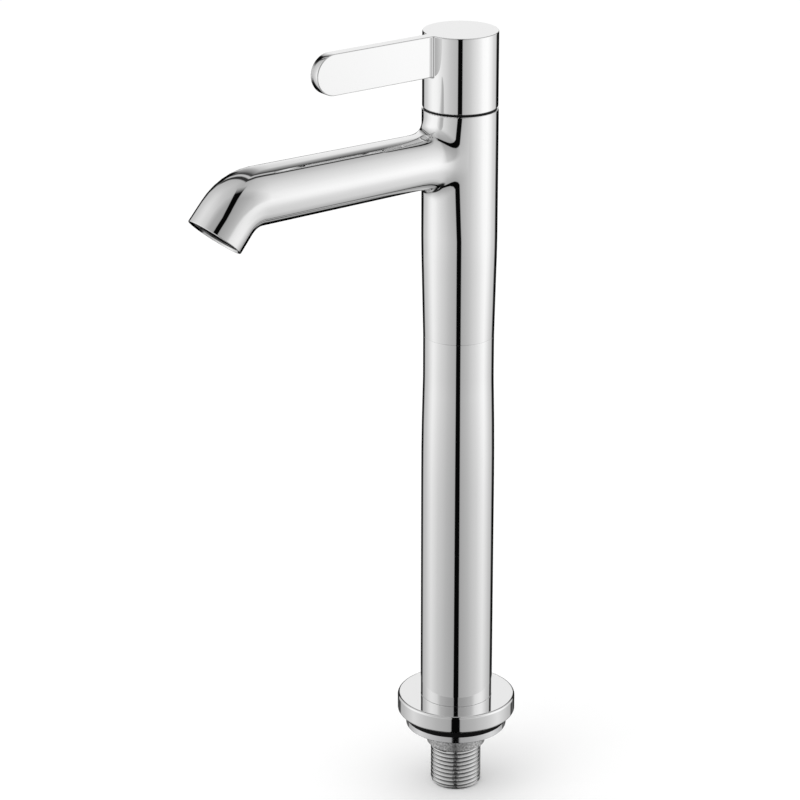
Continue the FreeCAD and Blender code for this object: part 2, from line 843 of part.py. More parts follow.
def handle():
    """Round cap and flat lever in one casting, closed over the spout."""
    body = new_body("handle")
    cap = "handle_diameter / 2"
    revolve(body, [
        ("0", "handle_low"),
        (cap, "handle_low", "handle_rounding"),
        (cap, "handle_top"),
        ("0", "handle_top"),
    ])
    add_lever(body)
    revolve(body, [
        ("0", "handle_low"),
        ("cavity_diameter / 2", "handle_low"),
        ("cavity_diameter / 2", "cavity_top"),
        ("adapter_radius + adapter_gap", "cavity_top"),
        ("adapter_radius + adapter_gap", "socket_top"),
        ("0", "socket_top"),
    ], "PartDesign::Groove")
    primitive(body, "SubtractiveCylinder", up="screw_level", turn="-90",
              Radius="screw_diameter / 2", Height="handle_diameter / 2")
    primitive(body, "SubtractiveCylinder", along="plug_floor", up="screw_level", turn="-90",
              Radius="plug_diameter / 2", Height="plug_depth * 2")
    return body


def add_lever(body):
    """Add the flat lever, blend it into the cap and add its round end.

    Rounding the rim also rounds the lever's top edges, up to the square cut that
    the round end then covers.
    """
    side = "lever_thickness / 2"
    blade = body.newObject("PartDesign::Pad", "Lever")
    blade.Profile = outline(body, [
        ("-" + side, "lever_low", "handle_rounding"),
        (side, "lever_low", "handle_rounding"),
        (side, "handle_top"),
        ("-" + side, "handle_top"),
    ], lift="handle_diameter / 2 - lever_overlap")
    bind(blade, Length="lever_straight - (handle_diameter / 2 - lever_overlap)")
    body.Tip = blade
    doc.recompute()
    soften(body, [lever_root_edge], "lever_fillet")
    soften(body, [cap_rim_edge], "handle_rounding")
    end = body.newObject("PartDesign::Revolution", "LeverEnd")
    end.Profile = outline(body, [
        ("-" + side, "0"),
        (side, "0"),
        (side, "lever_height / 2", "handle_rounding"),
        ("-" + side, "lever_height / 2", "handle_rounding"),
    ], lift="lever_straight")
    end.Profile[0].setExpression("AttachmentOffset.Base.y", bound("handle_top - lever_height / 2"))
    end.ReferenceAxis = (end.Profile[0], ["H_Axis"])
    end.Angle = 180
    body.Tip = end
    doc.recompute()


def lever_root_edge(edge):
    """Test for the edges where lever meets cap, apart from the flat top."""
    middle = edge.CenterOfMass
    on_cap = all(abs(Vector(end.X, end.Y, 0).Length - value("handle_diameter / 2")) < NEAR
                 for end in edge.Vertexes)
    beside = abs(middle.x) < value("lever_thickness / 2") + NEAR
    under_top = middle.z < value("handle_top") - NEAR
    return len(edge.Vertexes) == 2 and on_cap and beside and middle.y < 0 and under_top


def cap_rim_edge(edge):
    """Test for the round edges of the handle's flat top."""
    box = edge.BoundBox
    off_level = max(abs(box.ZMin - value("handle_top")), abs(box.ZMax - value("handle_top")))
    return edge.Curve.TypeId == "Part::GeomCircle" and off_level < NEAR


def handle_set_screw():
    """Hexagon-socket set screw that locks the handle on its bush."""
    body = turned("handle_set_screw", [
        ("0", "adapter_radius"),
        ("screw_diameter / 2 - thread_fit - screw_point", "adapter_radius"),
        ("screw_diameter / 2 - thread_fit", "adapter_radius + screw_point"),
        ("screw_diameter / 2 - thread_fit", "plug_floor"),
        ("0", "plug_floor"),
    ])
    socket = primitive(body, "SubtractivePrism", up="plug_floor - socket_reach",
                       Circumradius="screw_socket / sqrt(3)", Height="socket_reach")
    socket.Polygon = 6
    place(body, up="screw_level", turn="-90")
    doc.recompute()
    return body


def set_screw_plug():
    """Small press-in plug over the set screw, flush with the cap."""
    pin = doc.addObject("Part::Cylinder", "PlugPin")
    bind(pin, Radius="plug_diameter / 2 - plug_fit", Height="plug_depth * 2")
    place(pin, along="plug_floor + plug_fit", up="screw_level", turn="-90")
    skin = doc.addObject("Part::Cylinder", "PlugSkin")
    bind(skin, Radius="handle_diameter / 2 - plug_fit", Height="plug_diameter * 2")
    place(skin, up="screw_level - plug_diameter")
    plug = doc.addObject("Part::Common", "set_screw_plug")
    plug.Label = "set_screw_plug"
    plug.Base = pin
    plug.Tool = skin
    doc.recompute()
    return plug


def glide_ring():
    """Black plastic ring in the gap under the handle."""
    return ring("glide_ring", "collar_diameter / 2 + nest_gap", "glide_diameter / 2",
                "head_top", "handle_low - glide_clearance")


def cartridge_seat_seal():
    """Rubber seat under the fixed disc."""
    return ring("cartridge_seat_seal", "seal_bore / 2", "barrel_bore / 2 - nest_gap",
                "seat_level", "seal_top")


def thrust_washer():
    """Slippery washer between spindle plate and cartridge shoulder."""
    return ring("thrust_washer", "stem_diameter / 2 + running_fit", "disc_diameter / 2",
                "plate_top", "washer_top")


def spindle_o_rings():
    """The two seals on the spindle's stem."""
    rings = []
    section = "(stem_ring - running_fit)"
    for name, depth in (("UpperRing", "upper_groove_depth"), ("LowerRing", "lower_groove_depth")):
        rings.append(o_ring(name, "stem_groove_radius", section, "head_top - " + depth))
    group = doc.addObject("Part::Compound", "spindle_o_rings")
    group.Label = "spindle_o_rings"
    group.Links = rings
    doc.recompute()
    return group


def place_in_mouth(body):
    """Stand a body in the spout's mouth, its Z axis running into the spout."""
    place(body, along="-outlet_reach", up="outlet_level", turn="bend_angle - 90")
    doc.recompute()
    return body


def aerator_housing():
    """Recessed housing, screwed into the mouth with a notched key ring."""
    thread = "mouth_bore / 2 - thread_fit"
    bore = "housing_bore / 2"
    lip = "lip_bore / 2"
    body = turned("aerator_housing", [
        (lip, "aerator_recess"),
        (thread, "aerator_recess"),
        (thread, "housing_top"),
        (bore, "housing_top"),
        (bore, "screen_low"),
        (lip, "screen_low"),
    ])
    notch = primitive(body, "SubtractiveBox", across="lip_bore / 2 + lip_height",
                      along="-key_notch / 2", up="aerator_recess", Length="mouth_bore",
                      Width="key_notch", Height="lip_height")
    repeat(body, notch, "key_count")
    return place_in_mouth(body)


def mesh_disc(label, low):
    """Make a fine mesh disc with rings of round holes."""
    body = turned(label, [
        ("0", low),
        ("mesh_radius", low),
        ("mesh_radius", low + " + mesh_thickness"),
        ("0", low + " + mesh_thickness"),
    ])
    drill_ring(body, low, "mesh_thickness", "mesh_hole", "0", "1")
    for number in range(1, int(value("mesh_rings")) + 1):
        radius = "mesh_pitch * %d" % number
        drill_ring(body, low, "mesh_thickness", "mesh_hole", radius, "mesh_step * %d" % number)
    return place_in_mouth(body)


def drill_ring(body, low, height, hole, radius, count):
    """Drill holes through a disc, evenly spaced on a circle."""
    first = primitive(body, "SubtractiveCylinder", across=radius, up=low,
                      Radius=hole + " / 2", Height=height)
    if count != "1":
        repeat(body, first, count)


def aerator_core():
    """Plastic core whose holes break the water into jets."""
    high = "strainer_low - stack_gap"
    height = "(%s) - (core_low)" % high
    body = turned("aerator_core", [
        ("0", "core_low"),
        ("mesh_radius", "core_low"),
        ("mesh_radius", high),
        ("0", high),
    ])
    drill_ring(body, "core_low", height, "jet_hole", "0", "1")
    drill_ring(body, "core_low", height, "jet_hole", "inner_jet_circle / 2", "inner_jet_count")
    drill_ring(body, "core_low", height, "jet_hole", "jet_circle / 2", "jet_count")
    return place_in_mouth(body)


def aerator_seal():
    """Flat rubber washer between aerator and spout."""
    body = ring("aerator_seal", "aerator_seal_bore / 2", "mouth_bore / 2 - nest_gap",
                "housing_top", "mouth_depth")
    return place_in_mouth(body)


def make_parts():
    """Make every sub-part, from the inlet up to the handle."""
    return [
        base_adapter(),
        o_ring("base_o_ring", "joint_groove_radius", "joint_ring",
               "base_spigot_top - joint_ring_inset"),
        base_gasket(),
        base_flange(),
        lower_column(),
        o_ring("column_o_ring", "joint_groove_radius", "joint_ring",
               "head_spigot_low + joint_ring_inset"),
        head_casting(),
        aerator_housing(),
        mesh_disc("aerator_screen", "screen_low"),
        aerator_core(),
        mesh_disc("aerator_strainer", "strainer_low"),
        aerator_seal(),
        cartridge_seat_seal(),
        fixed_disc(),
        moving_disc(),
        cartridge_body(),
        o_ring("cartridge_o_ring", "socket_radius", "collar_ring", "head_top - collar_ring / 2"),
        thrust_washer(),
        cartridge_spindle(),
        spindle_o_rings(),
        spindle_circlip(),
        glide_ring(),
        spline_adapter(),
        handle(),
        handle_set_screw(),
        set_screw_plug(),
    ]


def check(parts):
    """Stop if any object failed or any sub-part has no sound shape."""
    for item in doc.Objects:
        if "Invalid" in item.State or "Error" in item.State:
            raise RuntimeError("failed: %s %s" % (item.Label, item.State))
    for part in parts:
        if part.Shape.isNull() or not part.Shape.isValid():
            raise RuntimeError("no sound shape: " + part.Label)


def write(parts):
    """Write one STEP file for each sub-part."""
    os.makedirs("parts", exist_ok=True)
    for part in parts:
        part.Shape.exportStep("parts/%s.step" % part.Label)
        print("%-22s %2d solid(s) %10.1f mm3" % (part.Label, len(part.Shape.Solids), part.Shape.Volume))


fill_sheet()
pieces = make_parts()
doc.recompute()
check(pieces)
write(pieces)
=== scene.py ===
# %% [markdown]
# # A tall basin tap in polished chrome
# The tap stands about 300 mm over the basin. Almost all of it is mirror-bright chrome,
# so most of this lesson is about what the chrome reflects, and the rest about the few
# parts that aren't mirrors: a rubber gasket, a turned brass shank and its pipe thread.
# The solids come finished from the CAD model. Here they get their finishes, a camera
# and a studio.

# %% Load the CAD model
import math

import bpy
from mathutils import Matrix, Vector


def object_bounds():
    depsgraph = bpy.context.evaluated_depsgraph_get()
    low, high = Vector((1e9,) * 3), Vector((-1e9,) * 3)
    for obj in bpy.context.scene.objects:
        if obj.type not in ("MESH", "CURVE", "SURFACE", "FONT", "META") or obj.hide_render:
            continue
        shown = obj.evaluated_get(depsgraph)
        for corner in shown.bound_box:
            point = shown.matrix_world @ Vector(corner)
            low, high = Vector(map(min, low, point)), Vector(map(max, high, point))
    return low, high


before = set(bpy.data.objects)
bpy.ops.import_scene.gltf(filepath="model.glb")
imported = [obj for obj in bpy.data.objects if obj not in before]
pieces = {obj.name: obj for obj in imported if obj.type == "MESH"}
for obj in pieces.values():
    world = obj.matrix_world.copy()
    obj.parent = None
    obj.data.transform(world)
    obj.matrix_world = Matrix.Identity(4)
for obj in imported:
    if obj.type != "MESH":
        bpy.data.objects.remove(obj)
cad_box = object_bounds()
print("pieces:", len(pieces), "box:", [[round(v, 4) for v in corner] for corner in cad_box])

# %% [markdown]
# ## Camera
# The photograph was taken with a long lens from about 1.3 m away and 21 degrees above
# level, so upright edges stay almost parallel. The spout points left and towards the
# camera, which puts the camera 54 degrees round from the spout's front. Its place is
# worked out from those angles instead of being dragged into place, so that each number
# has a meaning. Distance and shift are measured on the level, from the tap's axis.

# %% Camera
VIEW_AZIMUTH = math.radians(54.0)
VIEW_PITCH = math.radians(20.82)
VIEW_DISTANCE = 1.185
VIEW_SHIFT = 0.02348
VIEW_HEIGHT = 0.59485
SENSOR_WIDTH_MM = 36.0
LENS_MM = 141.3
away = Vector((-math.sin(VIEW_AZIMUTH), math.cos(VIEW_AZIMUTH), 0))
rightward = Vector((math.cos(VIEW_AZIMUTH), math.sin(VIEW_AZIMUTH), 0))
camera_data = bpy.data.cameras.new("Camera")
camera_data.sensor_width = SENSOR_WIDTH_MM
camera_data.lens = LENS_MM
camera = bpy.data.objects.new("Camera", camera_data)
camera.location = away * -VIEW_DISTANCE + rightward * -VIEW_SHIFT + Vector((0, 0, VIEW_HEIGHT))
camera.rotation_euler = (math.pi / 2 - VIEW_PITCH, 0, VIEW_AZIMUTH)
bpy.context.scene.collection.objects.link(camera)
bpy.context.scene.camera = camera
bpy.context.scene.view_settings.view_transform = "Standard"
print("camera at", [round(v, 3) for v in camera.location])

# %% [markdown]
# ## Helpers
# Screens and colour pickers give sRGB hex values, but shaders add up light, which needs
# linear numbers. One function does that conversion. Another adds a node to a node tree:
# settings go in by name, and inputs either by name or as a list in the node's order. An
# input is a plain value, a socket, or another node, whose first live output is then
# linked. The last helper gives a colour ramp its stops.

# %% Helpers
def linear(hex_colour):
    """Turn an sRGB hex value into a linear RGBA colour."""
    channels = [int(hex_colour[i:i + 2], 16) / 255 for i in (1, 3, 5)]
    return [c / 12.92 if c <= 0.04045 else ((c + 0.055) / 1.055) ** 2.4 for c in channels] + [1.0]


def fill_inputs(node, inputs):
    """Give a node's inputs their values, or links from other nodes."""
    pairs = inputs.items() if isinstance(inputs, dict) else enumerate(inputs)
    for socket, value in pairs:
        if isinstance(value, bpy.types.Node):
            value = next(output for output in value.outputs if output.enabled)
        if isinstance(value, bpy.types.NodeSocket):
            node.id_data.links.new(value, node.inputs[socket])
        else:
            node.inputs[socket].default_value = value


def add_node(tree, kind, inputs=(), **settings):
    """Add a node with its settings, input values and incoming links."""
    node = tree.nodes.new(kind)
    for name, setting in settings.items():
        setattr(node, name, setting)
    fill_inputs(node, inputs)
    return node


def set_stops(ramp_node, stops):
    """Give a colour ramp its stops, as (position, grey level) pairs."""
    ramp = ramp_node.color_ramp
    while len(ramp.elements) > 1:
        ramp.elements.remove(ramp.elements[-1])
    for index, (position, level) in enumerate(stops):
        stop = ramp.elements[0] if index == 0 else ramp.elements.new(position)
        stop.position = position
        stop.color = (level, level, level, 1)


print("mid grey #808080 is", round(linear("#808080")[0], 3), "in linear light")

# %% [markdown]
# ## The studio that the chrome reflects
# Chrome has no colour of its own to show: it shows the room. Product photographers
# stand the object in a light tent, with large soft panels left and right that are
# brightest in the middle, a gap between them where the lens looks in, and black card
# behind. That gives the long soft bands, the thin black line down the middle of each
# round part and the thin black edges that part it from a white background.
#
# The tent here is a sphere that only mirror reflections can see. Its light is worked
# out from the direction on the sphere: how far to the side, how far to the front and
# how high, each from -1 to 1. The tent stays where it is when the camera moves, as a
# real one would.

# %% Tent
TENT_RADIUS = 0.8
TENT_CENTRE = Vector((0, 0, 0.15))
GAP_AZIMUTH = math.radians(52.3)
tent_side = Vector((math.cos(GAP_AZIMUTH), math.sin(GAP_AZIMUTH), 0))
tent_front = Vector((math.sin(GAP_AZIMUTH), -math.cos(GAP_AZIMUTH), 0))
bpy.ops.mesh.primitive_uv_sphere_add(
    segments=96, ring_count=48, radius=TENT_RADIUS, location=TENT_CENTRE)
tent = bpy.context.object
tent.name = "light_tent"
tent.visible_camera = False
tent.visible_diffuse = False
tent.visible_shadow = False
tent.visible_volume_scatter = False
print("tent spans", round(2 * TENT_RADIUS, 2), "m")

# %% Directions on the tent
tent_material = bpy.data.materials.new("tent_cloth_and_card")
tent_material.use_nodes = True
tree = tent_material.node_tree
tree.nodes.clear()
place = add_node(tree, "ShaderNodeTexCoord").outputs["Object"]
heading = add_node(tree, "ShaderNodeVectorMath", [place], operation="NORMALIZE")
side = add_node(tree, "ShaderNodeVectorMath", [heading, tent_side], operation="DOT_PRODUCT")
front = add_node(tree, "ShaderNodeVectorMath", [heading, tent_front], operation="DOT_PRODUCT")
height = add_node(tree, "ShaderNodeSeparateXYZ", [heading]).outputs["Z"]
sideways = add_node(tree, "ShaderNodeMath", [side], operation="ABSOLUTE")
print("tent nodes:", len(tree.nodes))

# %% [markdown]
# Each side panel is brightest in the middle, where its lamp stands, and fades towards
# the gap that the lens looks through. The gap reaches almost to the top of the tent, so
# that it draws a black line down every rounded front. Towards the back the panels fade
# again, and so do their middles where they face the object a little above the lens.

# %% Side panels
PANEL_PEAK = 1.13
PANEL_LEVELS = (
    (0.0, 0.46), (0.13, 0.5), (0.22, 0.55), (0.31, 0.58), (0.41, 0.62), (0.5, 0.66),
    (0.66, 0.78), (0.79, 0.88), (0.89, 1.0), (0.95, 1.11), (1.0, 1.13))
panel_light = add_node(tree, "ShaderNodeValToRGB", [sideways])
set_stops(panel_light, [(position, level / PANEL_PEAK) for position, level in PANEL_LEVELS])
beside_gap = add_node(tree, "ShaderNodeMapRange", {
    "Value": sideways, "From Min": 0.105, "From Max": 0.13, "To Min": 0.006})
over_gap = add_node(tree, "ShaderNodeMapRange", {
    "Value": height, "From Min": 0.9, "From Max": 0.97})
open_front = add_node(tree, "ShaderNodeMath", [beside_gap, over_gap], operation="MAXIMUM")
fade_back = add_node(tree, "ShaderNodeMapRange", {
    "Value": front, "From Min": 0.0, "From Max": -0.45, "To Min": 1.0, "To Max": 0.79})
fade_left = add_node(tree, "ShaderNodeMapRange", {
    "Value": side, "From Min": -0.9, "From Max": -0.2, "To Min": 0.93})
fade_up = add_node(tree, "ShaderNodeMapRange", {
    "Value": height, "From Min": 0.0, "From Max": 0.12, "To Min": 1.0, "To Max": 0.74})
faces_lens = add_node(tree, "ShaderNodeMapRange", {
    "Value": front, "From Min": 0.42, "From Max": 0.62})
fade_middle = add_node(tree, "ShaderNodeMix", {"Factor": faces_lens, "A": 1.0, "B": fade_up})
for factor in (open_front, fade_back, fade_left, fade_middle):
    panel_light = add_node(tree, "ShaderNodeMath", [panel_light, factor], operation="MULTIPLY")
print("side panels peak at", PANEL_PEAK)

# %% [markdown]
# Behind the object hangs black card, and over it a white panel. The card gives every
# upright round part its thin dark edges. It is pinned up at its corners: near the side
# panels it reaches about the height of the lens, and straight behind it ends a little
# lower than the spout. The white panel is what the flat tops of the handle and flange
# show. Where panel and side cloth meet there are two dark seams, which run along the
# top of the spout as a pair of fine lines. Low down the card has a gap that does the
# same under the spout.
#
# All three are ramps over one reading: how far a direction lies behind the slanting rear
# edges of the side panels.

# %% Card and panel behind
REAR_START = 0.6
REAR_END = -1.0
EDGE_SLANT = -0.115
CARD_SLANT = -0.05
BLACK_CARD = (
    (-0.03, 1.0), (0.02, 0.85), (0.06, 0.5), (0.09, 0.27), (0.14, 0.09), (0.2, 0.03),
    (0.28, 0.006))
WHITE_PANEL = (
    (-0.02, 0.03), (0.07, 0.03), (0.12, 0.5), (0.19, 0.5), (0.23, 0.06), (0.3, 0.06),
    (0.38, 0.2), (0.46, 0.3), (0.55, 0.42), (0.66, 0.64), (0.76, 0.8))
LOW_CARD = (
    (0.04, 1.0), (0.1, 0.12), (0.2, 0.12), (0.27, 1.0), (0.41, 1.0), (0.48, 0.1),
    (0.6, 0.02))


def rear_ramp(reading, levels):
    """Add a ramp over the distance behind the side panels' rear edges."""
    rear = add_node(tree, "ShaderNodeMapRange", {
        "Value": reading, "From Min": REAR_START, "From Max": REAR_END})
    ramp = add_node(tree, "ShaderNodeValToRGB", [rear])
    span = REAR_START - REAR_END
    set_stops(ramp, [((REAR_START + distance) / span, level) for distance, level in levels])
    return ramp


along = add_node(tree, "ShaderNodeMath", [sideways, front], operation="ADD")
skew = add_node(tree, "ShaderNodeMath", [side, EDGE_SLANT, along], operation="MULTIPLY_ADD")
card_skew = add_node(tree, "ShaderNodeMath", [side, CARD_SLANT, along],
                     operation="MULTIPLY_ADD")
black_card = rear_ramp(card_skew, BLACK_CARD)
white_panel = rear_ramp(skew, WHITE_PANEL)
low_card = rear_ramp(skew, LOW_CARD)
print("tent nodes:", len(tree.nodes))

# %% One light from panels and cards
card_top = add_node(tree, "ShaderNodeMapRange", {
    "Value": skew, "From Min": -0.6, "From Max": -0.42, "To Min": 0.07, "To Max": 0.52})
above_card = add_node(tree, "ShaderNodeMath", [height, card_top], operation="SUBTRACT")
over_card = add_node(tree, "ShaderNodeMapRange", {
    "Value": above_card, "From Min": -0.05, "From Max": 0.05})
low_down = add_node(tree, "ShaderNodeMapRange", {
    "Value": height, "From Min": -0.55, "From Max": -0.65})
off_bottom = add_node(tree, "ShaderNodeMapRange", {
    "Value": height, "From Min": -0.93, "From Max": -0.87, "To Min": 0.03})
before_seam = add_node(tree, "ShaderNodeMapRange", {
    "Value": skew, "From Min": 0.03, "From Max": 0.08})
card = add_node(tree, "ShaderNodeMix", {"Factor": low_down, "A": black_card, "B": low_card})
low_light = add_node(tree, "ShaderNodeMath", [panel_light, card], operation="MULTIPLY")
low_light = add_node(tree, "ShaderNodeMath", [low_light, off_bottom], operation="MULTIPLY")
high_light = add_node(tree, "ShaderNodeMix", {
    "Factor": before_seam, "A": white_panel, "B": panel_light})
all_light = add_node(tree, "ShaderNodeMix", {
    "Factor": over_card, "A": low_light, "B": high_light})
print("tent nodes:", len(tree.nodes))

# %% [markdown]
# The lamps stand high, so the cloth is darker towards the bottom, more so in front than
# behind. That is why the head of the tap looks brighter than its foot.

# %% Fall of light with height
LAMP_STRENGTH = 1.1
LIGHT_BY_HEIGHT = (
    (-0.7, 0.755), (-0.52, 0.78), (-0.43, 0.81), (-0.27, 0.91), (-0.2, 0.945), (0.0, 1.0))
upward = add_node(tree, "ShaderNodeMapRange", {
    "Value": height, "From Min": -1.0, "From Max": 1.0})
lift = add_node(tree, "ShaderNodeValToRGB", [upward])
set_stops(lift, [((1 + level) / 2, share) for level, share in LIGHT_BY_HEIGHT])
lift_share = add_node(tree, "ShaderNodeMapRange", {
    "Value": front, "From Min": 0.0, "From Max": 0.4, "To Min": 0.45})
even_lift = add_node(tree, "ShaderNodeMix", {"Factor": lift_share, "A": 1.0, "B": lift})
strength = add_node(tree, "ShaderNodeMath", [even_lift, LAMP_STRENGTH * PANEL_PEAK],
                    operation="MULTIPLY")
glow = add_node(tree, "ShaderNodeEmission", {"Color": all_light, "Strength": strength})
add_node(tree, "ShaderNodeOutputMaterial", {"Surface": glow})
tent.data.materials.append(tent_material)
print("tent nodes:", len(tree.nodes))

# %% [markdown]
# ## Floor, room light and key lamp
# The floor is plain white paper under the end of the threaded shank, with 0.2 mm of air
# between them. The room gives even white light at a strength of 1, so a colour renders
# about as it is written. One large soft lamp from the upper left adds a direction to
# the floor's shadow. The mirror parts don't show floor or lamp, because in the tent
# they would be hidden by its cloth.

# %% Floor and room light
FLOOR_SIZE = 8.0
FLOOR_DROP = 0.0002
floor_level = cad_box[0][2]
bpy.ops.mesh.primitive_plane_add(size=FLOOR_SIZE, location=(0, 0, floor_level - FLOOR_DROP))
floor = bpy.context.object
floor.name = "floor"
floor.visible_glossy = False
paper = bpy.data.materials.new("white_paper")
paper.use_nodes = True
paper_shader = paper.node_tree.nodes["Principled BSDF"]
paper_shader.inputs["Base Color"].default_value = linear("#FFFFFF")
paper_shader.inputs["Roughness"].default_value = 1.0
paper_shader.inputs["Specular IOR Level"].default_value = 0.0
floor.data.materials.append(paper)

world = bpy.data.worlds.new("room")
world.use_nodes = True
world.node_tree.nodes["Background"].inputs["Color"].default_value = (1, 1, 1, 1)
world.node_tree.nodes["Background"].inputs["Strength"].default_value = 1.0
bpy.context.scene.world = world
print("floor at", round(floor_level * 1000, 2), "mm")

# %% Key lamp
LAMP_SIZE = 0.9
LAMP_WATTS = 3.0
LAMP_NEAR = 0.7
LAMP_LEFT = 0.8
LAMP_HEIGHT = 1.3
lamp_aim = Vector((0, 0, 0.1))
lamp_data = bpy.data.lights.new("key_lamp", "AREA")
lamp_data.size = LAMP_SIZE
lamp_data.energy = LAMP_WATTS
lamp = bpy.data.objects.new("key_lamp", lamp_data)
lamp.location = away * -LAMP_NEAR + rightward * -LAMP_LEFT + Vector((0, 0, LAMP_HEIGHT))
lamp.rotation_euler = (lamp_aim - lamp.location).to_track_quat("-Z", "Y").to_euler()
lamp.visible_glossy = False
bpy.context.scene.collection.objects.link(lamp)
print("key lamp", round((lamp_aim - lamp.location).length, 2), "m away")

# %% [markdown]
# ## True curves for mirror skins
# The CAD mesh comes face by face. Where a round face closes on itself, or meets the next
# one smoothly, the two sides carry slightly different shading normals, and in a mirror
# that shows as a crease. Three modifiers mend it without moving a single vertex: one
# joins the doubled vertices, one parts the mesh again at real edges, and one works out
# the normals anew from the faces around each vertex.

# %% True curves
CHROME_PIECES = ["handle", "head_casting", "lower_column", "base_flange", "set_screw_plug"]
SHANK_PIECES = ["base_adapter"]
REAL_EDGE = math.radians(24)
SAME_POINT = 0.000001
for name in CHROME_PIECES + SHANK_PIECES:
    joined = pieces[name].modifiers.new("join_face_borders", "WELD")
    joined.merge_threshold = SAME_POINT
    parted = pieces[name].modifiers.new("part_at_edges", "EDGE_SPLIT")
    parted.split_angle = REAL_EDGE
    fresh = pieces[name].modifiers.new("fresh_normals", "WEIGHTED_NORMAL")
    fresh.mode = "FACE_AREA_WITH_ANGLE"
    fresh.keep_sharp = False
print("mirror skins:", len(CHROME_PIECES + SHANK_PIECES))

# %% [markdown]
# Column, cap, flange and shank are turned round the tap's own axis, so on them the exact
# normal is known: it points straight away from the axis, whatever the size of the faces
# nearby. A small geometry node group keeps each normal's slope and sets its compass
# direction to the exact one. It leaves alone all that lies further out than the turned
# skin, such as spout and lever, and all that faces another way by more than 7 to 9
# degrees. The two helpers start such a group and end it, and the next cells use them
# again.

# %% Start and end of a skin group
LEVEL_PART = (1, 1, 0)
UPRIGHT_PART = (0, 0, 1)


def start_skin_group(name):
    """Start a geometry group, and return its tree, skin, point and normal."""
    group = bpy.data.node_groups.new(name, "GeometryNodeTree")
    for way in ("INPUT", "OUTPUT"):
        group.interface.new_socket("Skin", in_out=way, socket_type="NodeSocketGeometry")
    skin = add_node(group, "NodeGroupInput")
    point = add_node(group, "GeometryNodeInputPosition")
    normal = add_node(group, "GeometryNodeInputNormal")
    return group, skin, point, normal


def end_skin_group(group, skin, new_normal):
    """Give the skin its new normals, and hand it out of the group."""
    renewed = add_node(group, "GeometryNodeSetMeshNormal", [skin, new_normal],
                       mode="FREE", domain="CORNER")
    add_node(group, "NodeGroupOutput", [renewed])
    print(group.name, "has", len(group.nodes), "nodes")


# %% Turned skins
FULLY_ALIGNED = math.cos(math.radians(7))
NOT_ALIGNED = math.cos(math.radians(9))
SLIM_REACH = 0.0151
WIDE_REACH = 0.025


def turned_skin(name, reach):
    """Make a node group that trues the normals of skins turned about the axis."""
    group, skin, point, normal = start_skin_group(name)
    arm = add_node(group, "ShaderNodeVectorMath", [point, LEVEL_PART], operation="MULTIPLY")
    radius = add_node(group, "ShaderNodeVectorMath", [arm], operation="LENGTH")
    outward = add_node(group, "ShaderNodeVectorMath", [arm], operation="NORMALIZE")
    flat = add_node(group, "ShaderNodeVectorMath", [normal, LEVEL_PART], operation="MULTIPLY")
    flat_size = add_node(group, "ShaderNodeVectorMath", [flat], operation="LENGTH")
    flat_way = add_node(group, "ShaderNodeVectorMath", [flat], operation="NORMALIZE")
    facing = add_node(group, "ShaderNodeVectorMath", [flat_way, outward],
                      operation="DOT_PRODUCT")
    aligned = add_node(group, "ShaderNodeMath", [facing], operation="ABSOLUTE")
    is_turned = add_node(group, "ShaderNodeMapRange", {
        "Value": aligned, "From Min": NOT_ALIGNED, "From Max": FULLY_ALIGNED})
    is_near = add_node(group, "ShaderNodeMath", [radius, reach], operation="LESS_THAN")
    share = add_node(group, "ShaderNodeMath", [is_turned, is_near], operation="MULTIPLY")
    sense = add_node(group, "ShaderNodeMath", [facing], operation="SIGN")
    size = add_node(group, "ShaderNodeMath", [sense, flat_size], operation="MULTIPLY")
    exact_flat = add_node(group, "ShaderNodeVectorMath", {"Vector": outward, "Scale": size},
                          operation="SCALE")
    slope = add_node(group, "ShaderNodeVectorMath", [normal, UPRIGHT_PART],
                     operation="MULTIPLY")
    exact = add_node(group, "ShaderNodeVectorMath", [exact_flat, slope], operation="ADD")
    chosen = add_node(group, "ShaderNodeMix", {"Factor": share, "A": normal, "B": exact},
                      data_type="VECTOR")
    end_skin_group(group, skin, chosen)
    return group


for group, members in (
        (turned_skin("true_slim_skin", SLIM_REACH), ["handle", "head_casting", "lower_column"]),
        (turned_skin("true_wide_skin", WIDE_REACH), ["base_flange", "base_adapter"])):
    for name in members:
        pieces[name].modifiers.new("true_about_axis", "NODES").node_group = group

# %% [markdown]
# On the real casting the spout's root is filed and buffed until spout and column run
# into each other with no line between them. The solid has that root in a few plain
# faces, and a mirror shows each of them. Here the normals are blended instead: near the
# root, each one is part square to the spout and part square to the column, by how much
# nearer the one is than the other. The width of 1.8 mm is how soft the buffing is.

# %% Distances at the spout's root
SPOUT_LEVEL = 0.24755
SPOUT_RADIUS = 0.01075
COLUMN_RADIUS = 0.015075
root, skin, point, normal = start_skin_group("soft_spout_root")
spot = add_node(root, "ShaderNodeSeparateXYZ", [point]).outputs
spout_arm = add_node(root, "ShaderNodeVectorMath", [point, (1, 0, 1), (0, 0, -SPOUT_LEVEL)],
                     operation="MULTIPLY_ADD")
column_arm = add_node(root, "ShaderNodeVectorMath", [point, LEVEL_PART], operation="MULTIPLY")
spout_span = add_node(root, "ShaderNodeVectorMath", [spout_arm], operation="LENGTH")
column_span = add_node(root, "ShaderNodeVectorMath", [column_arm], operation="LENGTH")
off_spout = add_node(root, "ShaderNodeMath", [spout_span, SPOUT_RADIUS],
                     operation="SUBTRACT")
off_column = add_node(root, "ShaderNodeMath", [column_span, COLUMN_RADIUS],
                      operation="SUBTRACT")
print("nodes to measure the root:", len(root.nodes))

# %% [markdown]
# The spout's share follows a smooth S-curve, 1 / (1 + e^x), where x is how much nearer
# the column is than the spout, divided by the softness. The blend only holds in a box
# round the root, and only on or outside the two round skins, with a little slack, so
# that the rest of the casting and its waterway keep their own normals.

